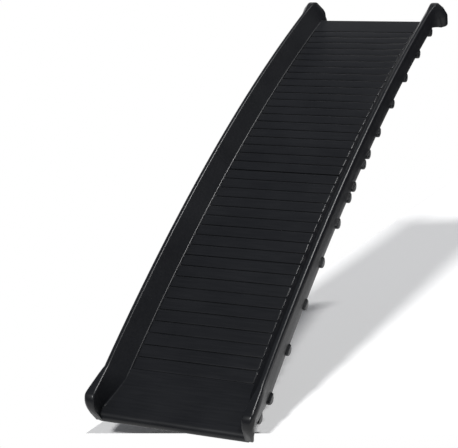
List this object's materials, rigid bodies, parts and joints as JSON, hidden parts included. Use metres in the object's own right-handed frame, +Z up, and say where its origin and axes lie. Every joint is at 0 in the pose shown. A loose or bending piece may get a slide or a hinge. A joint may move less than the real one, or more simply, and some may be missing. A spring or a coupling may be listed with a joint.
{
  "type": "dog ramp",
  "caption": "Folding dog ramp: two cambered plastic halves with raised side rails and flared ends, joined by a hinge under the middle.",
  "frame": {"origin": "middle of the footprint, on the floor under the rubber feet", "axes": "+Y along the ramp from the smooth low end towards the top end, +Z up off the floor, +X across the ramp"},
  "size_m": [0.452, 1.6378, 0.1275],
  "materials": {
    "shell": "fine-grained moulded plastic",
    "caps": "moulded plastic",
    "hook": "moulded plastic",
    "feet": "matt rubber",
    "rod": "bright steel rod",
    "screws": "plated steel",
    "pins": "plated steel"
  },
  "bodies": {
    "upper": {"upper_half": "shell", "hinge_rod": "rod", "hinge_cap_left": "caps", "hinge_cap_right": "caps", "foot_top_left": "feet", "foot_top_right": "feet", "foot_screws_top": "screws", "latch_pivot": "pins"},
    "lower": {"lower_half": "shell", "foot_low_left": "feet", "foot_low_right": "feet", "foot_screws_low": "screws", "latch_stud": "pins"},
    "hook": {"latch_hook": "hook"}
  },
  "joints": [
    {"name": "fold_hinge", "type": "hinge", "parent": "upper", "child": "lower", "pos_m": [0, -0.00135, 0.07046], "axis": [1, 0, 0], "range_deg": [0, 169.6]},
    {"name": "hook_pivot", "type": "hinge", "parent": "upper", "child": "hook", "pos_m": [-0.2025, 0.66605, 0.05212], "axis": [1, 0, 0], "range_deg": [0, 91.88]}
  ]
}
